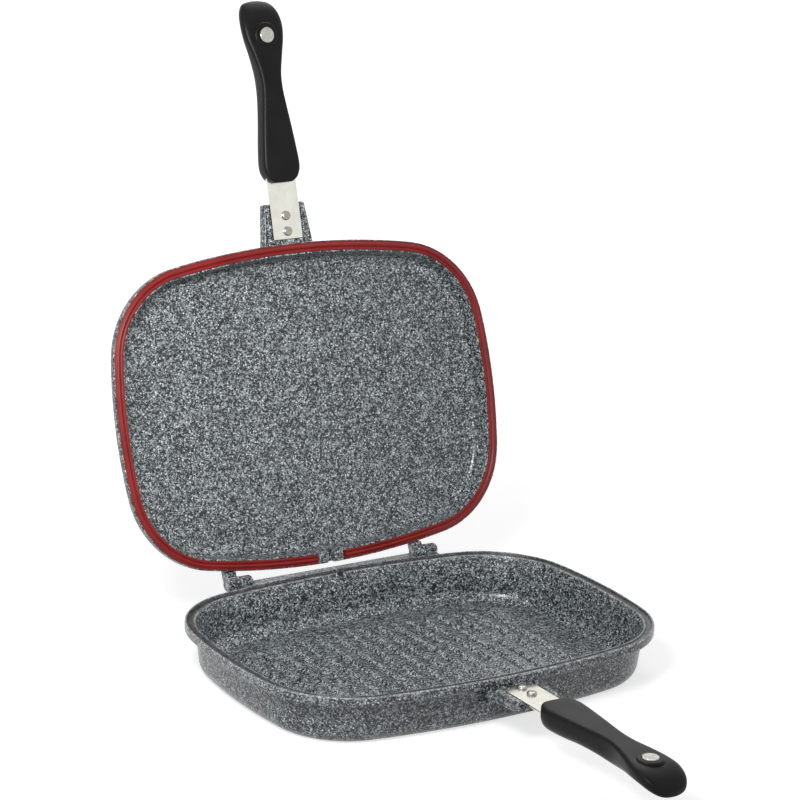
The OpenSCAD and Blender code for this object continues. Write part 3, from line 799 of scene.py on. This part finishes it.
def grip(name, place):
    """Moulded grip with its magnet boss, the strap's slot and the sunk screw hole."""
    matrix = place @ FRONT
    at_magnet = matrix @ Matrix.Translation((0, GRIP_START + MAGNET_Y, 0))
    at_screw = matrix @ Matrix.Translation((0, SCREW_Y, 0))
    boss = [(0, BOSS_TOP - BOSS_H), (BOSS_R, BOSS_TOP - BOSS_H), (BOSS_R, BOSS_TOP - 1.6),
            (BOSS_R - 0.35, BOSS_TOP - 0.7), (BOSS_R - 1.1, BOSS_TOP - 0.12),
            (BOSS_R - 2, BOSS_TOP), (0, BOSS_TOP)]
    half, tang = STRAP_W / 2 + STRAP_PLAY, TANG_W / 2 + STRAP_PLAY
    slot_top = STRAP_TOP + STRAP_PLAY
    slot_mid = (STRAP_TOP + STRAP_BOTTOM) / 2
    shell = add(grip_shell(name, matrix), lathe("boss", boss, at_magnet, FINE_ROUND))
    cut(shell,
        rod("seat", MAGNET_R + STRAP_PLAY / 2, -MAGNET_H, PAST, at_magnet, FINE_ROUND),
        block("slot", (-half, STRAP_END_Y, STRAP_BOTTOM),
              (half, TANG_START + STRAP_PLAY, slot_top), matrix),
        block("slot", (-tang, GRIP_START, STRAP_BOTTOM),
              (tang, TANG_END + STRAP_PLAY, slot_top), matrix),
        rod("hole", SCREW_R + STRAP_PLAY / 2, SCREW_HEAD_Z, slot_mid, at_screw, HOLE_ROUND),
        rod("hole", SCREW_HEAD_R + STRAP_PLAY, -SCREW_REACH, SCREW_HEAD_Z, at_screw, HOLE_ROUND))
    return smooth(shell, 38)


def strap(name, place):
    """Steel strip with rounded edges, its tang and its holes."""
    matrix = place @ FRONT
    half, tang = STRAP_W / 2, TANG_W / 2
    outline = soften([
        (-half, STRAP_END_Y), (half, STRAP_END_Y), (half, TANG_START), (tang, TANG_START),
        (tang, TANG_END), (-tang, TANG_END), (-tang, TANG_START), (-half, TANG_START)],
        STRAP_CORNER, closed=True)
    made = bevel(plate(name, outline, STRAP_BOTTOM, STRAP_TOP, matrix), STRAP_EDGE, 2, 50)
    at_screw = matrix @ Matrix.Translation((0, SCREW_Y, 0))
    cut(made, *rivet_holes(place), rod("hole", SCREW_R, -THROUGH, PAST, at_screw, HOLE_ROUND))
    return weighted(smooth(made, 40))


def rivets(name, place):
    """Two rivets: a rounded drum on the strap and a flat head under the lug."""
    p = 2 / RIVET_SQUARE
    dome = [(RIVET_HEAD_R * power(math.cos(a), p), STRAP_TOP + RIVET_HEAD_H * power(math.sin(a), p))
            for a in between(0, QUARTER, 14)[1:-1]] + [(0, STRAP_TOP + RIVET_HEAD_H)]
    tail_z = -LUG_H - RIVET_TAIL_H
    tail = soften([(0, tail_z), (RIVET_HEAD_R - 0.4, tail_z), (RIVET_HEAD_R, -LUG_H),
                   (RIVET_R, -LUG_H), (RIVET_R, STRAP_TOP), (RIVET_HEAD_R, STRAP_TOP)], 0.3)
    return smooth(joined([lathe(name, tail + dome, at) for at in at_rivets(place)]), 45)


def grip_screw(name, place):
    """Round-headed screw with a cross recess, sunk in the grip's outer side."""
    matrix = place @ FRONT @ Matrix.Translation((0, SCREW_Y, 0))
    end_z = SCREW_HEAD_Z - SCREW_HEAD_H
    made = lathe(name, soften([
        (0, end_z), (SCREW_HEAD_R - 1, end_z), (SCREW_HEAD_R, SCREW_HEAD_Z - 0.8),
        (SCREW_HEAD_R, SCREW_HEAD_Z), (SCREW_R, SCREW_HEAD_Z), (SCREW_R, STRAP_TOP),
        (0, STRAP_TOP)], 0.5), matrix)
    for x, y in ((SCREW_R, CROSS_W / 2), (CROSS_W / 2, SCREW_R)):
        cut(made, block("cross", (-x, -y, end_z - OVER), (x, y, end_z + CROSS_DEEP), matrix))
    return smooth(made, 40)


def magnet_cap(name, place):
    """Bright steel cap with a rounded edge and a faint dish in its face."""
    matrix = place @ FRONT @ Matrix.Translation((0, GRIP_START + MAGNET_Y, -MAGNET_H))
    inner, top = MAGNET_R - CAP_WALL, MAGNET_H - CAP_WALL
    profile = [(0, top), (inner, top), (inner, 0), (MAGNET_R, 0)]
    profile += rounded_end(MAGNET_R, MAGNET_H, CAP_ROUND)
    profile += [(MAGNET_R - 1.6, MAGNET_H - 0.05), (MAGNET_R - 2.6, MAGNET_H - 0.12),
                (0, MAGNET_H - 0.15)]
    return smooth(lathe(name, profile, matrix, FINE_ROUND), 40)


def hinge_pin(name, side):
    """A pin with chamfered ends, pressed into the lid's arm and run into the pan's knuckle."""
    length, end_r = ARM_W + SIDE_GAP + KNUCKLE_W - 0.5, PIN_R - PIN_CHAMFER
    profile = [(0, 0), (end_r, 0), (PIN_R, PIN_CHAMFER), (PIN_R, length - PIN_CHAMFER),
               (end_r, length), (0, length)]
    return smooth(lathe(name, profile, OPENED @ on_axis(arm_x0(side))), 40)


# ---- Materials

NOISE_LOW, NOISE_HIGH = 0.3, 0.7    # noise keeps mostly between these


def material(name, color, roughness, metallic=0.0):
    """A material with its shader, and the object's own coordinates."""
    mat = bpy.data.materials.new(name)
    mat.use_nodes = True
    tree = mat.node_tree
    shader = tree.nodes["Principled BSDF"]
    shader.inputs["Base Color"].default_value = (*color, 1)
    shader.inputs["Roughness"].default_value = roughness
    shader.inputs["Metallic"].default_value = metallic
    place = tree.nodes.new("ShaderNodeTexCoord").outputs["Object"]
    return mat, tree, shader, place


def drive(tree, shader, **values):
    """Links values to a shader's sockets; base_color stands for Base Color."""
    for socket, value in values.items():
        tree.links.new(value, shader.inputs[socket.replace("_", " ").title()])


def mapped(tree, place, scale=(1, 1, 1), shift=(0, 0, 0)):
    """Coordinates, scaled and then shifted."""
    node = tree.nodes.new("ShaderNodeMapping")
    node.inputs["Scale"].default_value = scale
    node.inputs["Location"].default_value = shift
    tree.links.new(place, node.inputs["Vector"])
    return node.outputs["Vector"]


def noise(tree, place, size, detail=2, rough=0.5, output="Fac"):
    """Noise with features about size millimetres across; output Color holds three at once."""
    node = tree.nodes.new("ShaderNodeTexNoise")
    node.inputs["Scale"].default_value = 1 / (size * MM)
    node.inputs["Detail"].default_value = detail
    node.inputs["Roughness"].default_value = rough
    tree.links.new(place, node.inputs["Vector"])
    return node.outputs[output]


def cells(tree, place, size, shift):
    """Distance to the nearest cell's centre and a random value for each cell, of size mm."""
    node = tree.nodes.new("ShaderNodeTexVoronoi")
    node.inputs["Scale"].default_value = 1 / (size * MM)
    tree.links.new(mapped(tree, place, shift=(shift, -shift, shift)), node.inputs["Vector"])
    split = tree.nodes.new("ShaderNodeSeparateColor")
    tree.links.new(node.outputs["Color"], split.inputs["Color"])
    return node.outputs["Distance"], split.outputs["Red"]


def ranged(tree, value, low, high, to_low=0.0, to_high=1.0):
    """A value between low and high drawn out to another range, and held within it."""
    node = tree.nodes.new("ShaderNodeMapRange")
    node.inputs["From Min"].default_value = low
    node.inputs["From Max"].default_value = high
    node.inputs["To Min"].default_value = to_low
    node.inputs["To Max"].default_value = to_high
    tree.links.new(value, node.inputs["Value"])
    return node.outputs["Result"]


def from_noise(tree, value, to_low=0.0, to_high=1.0):
    """Noise drawn out to a range."""
    return ranged(tree, value, NOISE_LOW, NOISE_HIGH, to_low, to_high)


def maths(tree, operation, *values):
    """One operation on sockets or numbers."""
    node = tree.nodes.new("ShaderNodeMath")
    node.operation = operation
    for socket, v in zip(node.inputs, values):
        if isinstance(v, (int, float)):
            socket.default_value = v
        else:
            tree.links.new(v, socket)
    return node.outputs["Value"]


def shared(tree, a, share_a, b, share_b):
    """The sum of two values, each times its own share."""
    return maths(tree, "ADD", maths(tree, "MULTIPLY", a, share_a),
                 maths(tree, "MULTIPLY", b, share_b))


def mixed(tree, factor, a, b):
    """Colour a where factor is 0 and b where it is 1; either is a socket or three numbers."""
    node = tree.nodes.new("ShaderNodeMix")
    node.data_type = "RGBA"
    tree.links.new(factor, node.inputs["Factor"])
    color_a, color_b = 6, 7
    for index, v in ((color_a, a), (color_b, b)):
        if isinstance(v, tuple):
            node.inputs[index].default_value = (*v, 1)
        else:
            tree.links.new(v, node.inputs[index])
    return node.outputs[2]


def bump(tree, shader, height, depth, strength):
    """Relief from a height of 0 to 1; depth is in millimetres."""
    node = tree.nodes.new("ShaderNodeBump")
    node.inputs["Strength"].default_value = strength
    node.inputs["Distance"].default_value = depth * MM
    tree.links.new(height, node.inputs["Height"])
    drive(tree, shader, normal=node.outputs["Normal"])


def darker(color, share):
    return tuple(share * c for c in color)


STONE = (0.1, 0.11, 0.115)
STONE_DARK = (0.004, 0.005, 0.006)
STONE_MID = (0.038, 0.041, 0.044)
STONE_PALE = (0.37, 0.415, 0.435)
STONE_WHITE = (0.7, 0.74, 0.75)
# Painted shade: darker coating colours for the rim's groove, where shade falls
GROOVE_SHADE_MID = (0.02, 0.021, 0.023)
GROOVE_SHADE_PALE = (0.12, 0.128, 0.132)
# Painted highlight: paler coating colours for the rim's lips, where light catches them
LIP_HIGHLIGHT_DARK = (0.07, 0.075, 0.078)
LIP_HIGHLIGHT_MID = (0.19, 0.2, 0.205)
LIP_HIGHLIGHT_PALE = (0.5, 0.53, 0.54)
# Painted highlight: paler coating colours for the ribs, as if light caught them
RIB_HIGHLIGHT_MID = (0.1, 0.11, 0.115)
RIB_HIGHLIGHT_PALE = (0.56, 0.61, 0.63)
FINE_GRAIN, FINE_SHARE = 0.85, 0.66     # size, and share in the pattern
BROAD_GRAIN, BROAD_SHARE = 1.9, 0.34
CLOUD = 0.025
WOBBLE = 0.8                            # how far the grains' edges stray

SILICONE = (0.25, 0.01, 0.01)
SILICONE_DARK = (0.175, 0.008, 0.008)
SILICONE_PALE = (0.235, 0.014, 0.013)
DUST = (0.5, 0.25, 0.22)
BLACK = (0.005, 0.005, 0.0052)
BLACK_DARK = (0.004, 0.004, 0.0042)
BLACK_PALE = (0.007, 0.0068, 0.0067)
FERRITE = (0.03, 0.03, 0.032)
FERRITE_DARK = (0.022, 0.022, 0.024)
FERRITE_PALE = (0.06, 0.06, 0.062)
STRAP_STEEL = (0.82, 0.81, 0.73)
RIVET_METAL = (0.4, 0.39, 0.37)
PIN_STEEL = (0.35, 0.35, 0.36)
CAP_STEEL = (0.55, 0.54, 0.49)
SCREW_STEEL = (0.55, 0.55, 0.54)
ALONG_X, ALONG_Y, ALONG_Z = 0, 1, 2


def stone_coating(name, dark, mid, pale, chips, gloss):
    """Sprayed stone-look coating: pale and dark grains of about a millimetre, faintly raised."""
    mat, tree, shader, place = material(name, STONE, 0.3)
    wobble = tree.nodes.new("ShaderNodeVectorMath")
    wobble.operation = "MULTIPLY_ADD"
    tree.links.new(noise(tree, place, 0.7, 1, output="Color"), wobble.inputs[0])
    wobble.inputs[1].default_value = (WOBBLE * MM,) * 3
    tree.links.new(place, wobble.inputs[2])
    loose = wobble.outputs["Vector"]
    fine = cells(tree, loose, FINE_GRAIN, 0.31)[1]
    broad = cells(tree, loose, BROAD_GRAIN, 0.87)[1]
    clouds = from_noise(tree, noise(tree, place, 14, 3), -CLOUD, CLOUD)
    grains = maths(tree, "ADD", shared(tree, fine, FINE_SHARE, broad, BROAD_SHARE), clouds)
    base = mixed(tree, ranged(tree, grains, 0.26, 0.5), dark, mid)
    bright = ranged(tree, grains, 0.52, 0.76)
    base = mixed(tree, bright, base, pale)
    distance, pick = cells(tree, loose, BROAD_GRAIN, 0.59)
    chip = maths(tree, "MULTIPLY", ranged(tree, distance, 0.4, 0.3), ranged(tree, pick, 0.8, 0.82))
    grain = noise(tree, place, 0.9, 3, 0.6)
    drive(tree, shader, base_color=mixed(tree, chip, base, chips),
          roughness=from_noise(tree, grain, gloss - 0.04, gloss + 0.08))
    bump(tree, shader, shared(tree, grain, 0.4, bright, 0.3), 0.05, 0.45)
    return mat


def silicone():
    """Matt dark red silicone with a fine moulded grain and a little dust on it."""
    mat, tree, shader, place = material("silicone", SILICONE, 0.42)
    shader.inputs["Specular IOR Level"].default_value = 0.3
    tone = noise(tree, place, 22, 3)
    color = mixed(tree, from_noise(tree, tone), SILICONE_DARK, SILICONE_PALE)
    dust = ranged(tree, noise(tree, place, 0.9, 3, 0.7), 0.68, 0.76, 0, 0.22)
    drive(tree, shader, base_color=mixed(tree, dust, color, DUST),
          roughness=from_noise(tree, tone, 0.36, 0.5))
    bump(tree, shader, noise(tree, place, 0.5, 3), 0.02, 0.5)
    return mat


def phenolic():
    """Black moulded grip with a fine spark-eroded grain and soft handling marks."""
    mat, tree, shader, place = material("phenolic", BLACK, 0.38)
    shader.inputs["Specular IOR Level"].default_value = 0.15
    marks = noise(tree, place, 26, 4, 0.6)
    tone = ranged(tree, marks, 0.35, NOISE_HIGH)
    drive(tree, shader, base_color=mixed(tree, tone, BLACK_DARK, BLACK_PALE),
          roughness=from_noise(tree, marks, 0.33, 0.45))
    bump(tree, shader, noise(tree, place, 0.45, 3, 0.6), 0.03, 0.55)
    return mat


def brushed(name, color, roughness, axis):
    """Metal brushed along one axis: long thin streaks in its relief, tone and gloss."""
    mat, tree, shader, place = material(name, color, roughness, 1.0)
    stretch = tuple(0.02 if i == axis else 1 for i in range(3))
    streaks = noise(tree, mapped(tree, place, stretch), 0.25, 3, 0.6)
    both = ranged(tree, maths(tree, "ADD", streaks, noise(tree, place, 9)), 0.75, 1.25)
    drive(tree, shader, base_color=mixed(tree, both, darker(color, 0.88), color),
          roughness=ranged(tree, both, 0, 1, roughness - 0.05, roughness + 0.1))
    bump(tree, shader, streaks, 0.004, 0.4)
    return mat


def satin(name, color, roughness):
    """Plain satin metal with a fine, even grain and faint scuffs."""
    mat, tree, shader, place = material(name, color, roughness, 1.0)
    scuffs = noise(tree, place, 2.4, 4, 0.7)
    tone = ranged(tree, scuffs, 0.35, 0.65)
    drive(tree, shader, base_color=mixed(tree, tone, darker(color, 0.78), color),
          roughness=from_noise(tree, scuffs, roughness - 0.05, roughness + 0.08))
    bump(tree, shader, noise(tree, place, 0.3), 0.01, 0.4)
    return mat


def sintered():
    """Dark grey sintered magnet with a coarse matt grain."""
    mat, tree, shader, place = material("ferrite", FERRITE, 0.7)
    grain = noise(tree, place, 0.6, 4, 0.7)
    tone = ranged(tree, grain, 0.35, NOISE_HIGH)
    drive(tree, shader, base_color=mixed(tree, tone, FERRITE_DARK, FERRITE_PALE))
    bump(tree, shader, grain, 0.04, 0.6)
    return mat


STONE_MAT = stone_coating("stone_coating", STONE_DARK, STONE_MID, STONE_PALE, STONE_WHITE, 0.24)
# Painted shade: the groove's darker copy of the coating
GROOVE_SHADE_MAT = stone_coating("stone_groove_painted_shade", STONE_DARK, GROOVE_SHADE_MID, GROOVE_SHADE_PALE, GROOVE_SHADE_PALE, 0.3)
# Painted highlight: the lips' paler copy of the coating
LIP_HIGHLIGHT_MAT = stone_coating("stone_lip_painted_highlight", LIP_HIGHLIGHT_DARK, LIP_HIGHLIGHT_MID, LIP_HIGHLIGHT_PALE, LIP_HIGHLIGHT_PALE, 0.18)
# Painted highlight: the ribs' paler copy of the coating
RIB_HIGHLIGHT_MAT = stone_coating("stone_rib_painted_highlight", STONE_DARK, RIB_HIGHLIGHT_MID, RIB_HIGHLIGHT_PALE, RIB_HIGHLIGHT_PALE, 0.14)
SILICONE_MAT = silicone()
PHENOLIC_MAT = phenolic()
STRAP_MATS = {"pan": brushed("strap_steel", STRAP_STEEL, 0.17, ALONG_Y),
              "lid": brushed("strap_steel_lid", STRAP_STEEL, 0.17, ALONG_Z)}
RIVET_MAT = satin("rivet_metal", RIVET_METAL, 0.2)
PIN_MAT = brushed("pin_steel", PIN_STEEL, 0.35, ALONG_X)
CAP_MAT = satin("cap_steel", CAP_STEEL, 0.22)
SCREW_MAT = satin("screw_steel", SCREW_STEEL, 0.32)
FERRITE_MAT = sintered()


# ---- The pieces, each on its body

# Material slots of the pan: painted shade in the groove, painted highlights on the lips and ribs
GROOVE_SHADE_INDEX, LIP_HIGHLIGHT_INDEX, RIB_HIGHLIGHT_INDEX = 1, 2, 3    # of the pan's materials after the coating
NEAR = 0.1                                      # play in telling faces apart by place


def mark_painted_light(obj):
    """Painted light: the rim's groove gets a darker coating as painted shade; the lips and ribs get
    paler ones as painted highlights.
    """
    rib_foot = PAN_FLOOR_T + 0.15 * RIB_H
    for face in obj.data.polygons:
        x, y, z = face.center / MM
        inset = inset_of(x, y)
        on_rim = z > PAN_H - GROOVE_Z - NEAR
        # painted shade: the groove's floor and walls take the darker coating
        if on_rim and OUTER_LIP_W + NEAR < inset < GROOVE_END + 0.75:
            face.material_index = GROOVE_SHADE_INDEX
        # painted highlight: the lips' upward faces take the paler coating
        elif on_rim and -NEAR < inset < RIM_TOP_W + NEAR and face.normal.z > 0.2:
            face.material_index = LIP_HIGHLIGHT_INDEX
        # painted highlight: the ribs above their feet take the paler coating
        elif inset > INNER_FOOT_IN + 5 and rib_foot < z < PAN_FLOOR_T + RIB_H + NEAR:
            face.material_index = RIB_HIGHLIGHT_INDEX


def paint(obj, *mats):
    """Gives an object its materials in place of those that it has."""
    obj.data.materials.clear()
    for mat in mats:
        obj.data.materials.append(mat)


def fit(piece, body, node, mat):
    """Gives a piece its material, lets it ride on its body and stand for its CAD node."""
    paint(piece, mat)
    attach(piece, body)
    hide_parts(node)


pan = pan_casting()
fit(pan, "pan", "pan_body", STONE_MAT)
# The pan's coating, with painted shade in its groove and painted highlights on its lips and ribs
paint(pan, STONE_MAT, GROOVE_SHADE_MAT, LIP_HIGHLIGHT_MAT, RIB_HIGHLIGHT_MAT)
mark_painted_light(pan)
fit(lid_casting(), "lid", "lid_body", STONE_MAT)
fit(seal(), "lid", "lid_seal", SILICONE_MAT)
for place, body in ((PAN, "pan"), (LID, "lid")):
    fit(strap(body + "_strap_plate", place), body, body + "_strap", STRAP_MATS[body])
    fit(rivets(body + "_rivet_pair", place), body, body + "_rivets", RIVET_MAT)
    fit(grip(body + "_grip_moulding", place), body, body + "_grip", PHENOLIC_MAT)
    fit(grip_screw(body + "_screw", place), body, body + "_grip_screw", SCREW_MAT)
    fit(magnet_cap(body + "_cap", place), body, body + "_magnet_cap", CAP_MAT)
    paint(frame["nodes"][body + "_magnet"], FERRITE_MAT)
for label, side in zip(("left", "right"), SIDES):
    fit(hinge_pin(label + "_pin", side), "lid", label + "_hinge_pin", PIN_MAT)


# ---- Floor, light and camera; in metres and watts

WHITE = (1, 1, 1, 1)
FLOOR_R = 12
FLOOR_TONE = 0.6
FLOOR_GLOW = 0.68         # the floor's own light for the camera: with the lamps' it makes white
FAR_GLOW = 0.92           # and far behind the object, where the lamps give little
GLOW_NEAR, GLOW_FAR = 0.4, 1.6
HORIZON_LIGHT = 0.7       # the room is a pale tent: bright low down and dim overhead
ZENITH_LIGHT = 0.25
DIM_ABOVE = 0.6           # height of a direction from which the tent is dim


def seen_directly(tree):
    """1 for rays from the camera and for those that a glossy or clear surface sends on."""
    rays = tree.nodes.new("ShaderNodeLightPath")
    first = maths(tree, "MAXIMUM", rays.outputs["Is Camera Ray"], rays.outputs["Is Glossy Ray"])
    return maths(tree, "MAXIMUM", first, rays.outputs["Is Transmission Ray"])


def floor_material():
    """A pale matt floor that takes shadows, and glows for the camera alone."""
    mat, tree, shader, place = material("floor", (FLOOR_TONE,) * 3, 0.9)
    shader.inputs["Specular IOR Level"].default_value = 0.1
    glow = tree.nodes.new("ShaderNodeEmission")
    glow.inputs["Color"].default_value = WHITE
    distance = tree.nodes.new("ShaderNodeVectorMath")
    distance.operation = "LENGTH"
    tree.links.new(place, distance.inputs[0])
    strength = ranged(tree, distance.outputs["Value"], GLOW_NEAR, GLOW_FAR, FLOOR_GLOW, FAR_GLOW)
    drive(tree, glow, strength=maths(tree, "MULTIPLY", seen_directly(tree), strength))
    both = tree.nodes.new("ShaderNodeAddShader")
    tree.links.new(shader.outputs[0], both.inputs[0])
    tree.links.new(glow.outputs[0], both.inputs[1])
    tree.links.new(both.outputs[0], tree.nodes["Material Output"].inputs["Surface"])
    return mat


def floor():
    """A round floor, wide enough to reach the horizon of every view."""
    angles = between(0, 2 * math.pi, ROUND)[:-1]
    ring = [(FLOOR_R * math.cos(a), FLOOR_R * math.sin(a), 0) for a in angles]
    mesh = bpy.data.meshes.new("floor")
    mesh.from_pydata(ring, [], [tuple(range(ROUND))])
    mesh.materials.append(floor_material())
    obj = bpy.data.objects.new("floor", mesh)
    bpy.context.scene.collection.objects.link(obj)


def world():
    """The room's light: white to the camera, and a soft tent to the object."""
    made = bpy.data.worlds.new("studio")
    made.use_nodes = True
    tree = made.node_tree
    back = tree.nodes["Background"]
    back.inputs["Color"].default_value = WHITE
    height = tree.nodes.new("ShaderNodeSeparateXYZ")
    direction = tree.nodes.new("ShaderNodeTexCoord").outputs["Generated"]
    tree.links.new(direction, height.inputs[0])
    tent = ranged(tree, height.outputs["Z"], 0, DIM_ABOVE, HORIZON_LIGHT, ZENITH_LIGHT)
    drive(tree, back, strength=maths(tree, "MAXIMUM", seen_directly(tree), tent))
    bpy.context.scene.world = made


def lamp(name, power, size, at, aim, spread):
    """A soft square lamp at a point, aimed at another; spread is in degrees."""
    data = bpy.data.lights.new(name, "AREA")
    data.energy = power
    data.size = size
    data.spread = math.radians(spread)
    obj = bpy.data.objects.new(name, data)
    obj.location = at
    obj.rotation_euler = (Vector(aim) - Vector(at)).to_track_quat("-Z", "Y").to_euler()
    bpy.context.scene.collection.objects.link(obj)


CAM_AZIMUTH = math.radians(-32.632)
CAM_ELEVATION = math.radians(16.601)
CAM_ROLL = math.radians(2.123)
CAM_SIDE = -0.0165742     # the camera's place in its own axes, from the middle of the pan's
CAM_UP = 0.1746583        # mating plane
CAM_DISTANCE = 2.4261676
FOCAL_SHARE = 3.813239    # focal length over the frame's width


def camera():
    """The photograph's own viewpoint."""
    data = bpy.data.cameras.new("camera")
    data.sensor_width = 36
    data.lens = FOCAL_SHARE * data.sensor_width
    data.clip_end = 50
    az, el = CAM_AZIMUTH, CAM_ELEVATION
    right = Vector((math.cos(az), math.sin(az), 0))
    back = Vector((math.sin(az) * math.cos(el), -math.cos(az) * math.cos(el), math.sin(el)))
    up = back.cross(right)
    tilted_right = right * math.cos(CAM_ROLL) + up * math.sin(CAM_ROLL)
    tilted_up = up * math.cos(CAM_ROLL) - right * math.sin(CAM_ROLL)
    turn = Matrix((tilted_right, tilted_up, back)).transposed()
    at = turn @ Vector((CAM_SIDE, CAM_UP, CAM_DISTANCE)) + Vector((0, 0, PAN_H * MM))
    obj = bpy.data.objects.new("camera", data)
    obj.matrix_world = Matrix.Translation(at) @ turn.to_4x4()
    bpy.context.scene.collection.objects.link(obj)
    bpy.context.scene.camera = obj


floor()
world()
lamp("near", power=2.8, size=0.3, at=(-0.55, -0.4, 0.72), aim=(-0.14, 0.19, 0.3), spread=100)
lamp("back", power=7, size=0.9, at=(0.8, 1.0, 1.6), aim=(0, 0, 0.12), spread=180)
camera()
bpy.context.scene.view_settings.view_transform = "Standard"
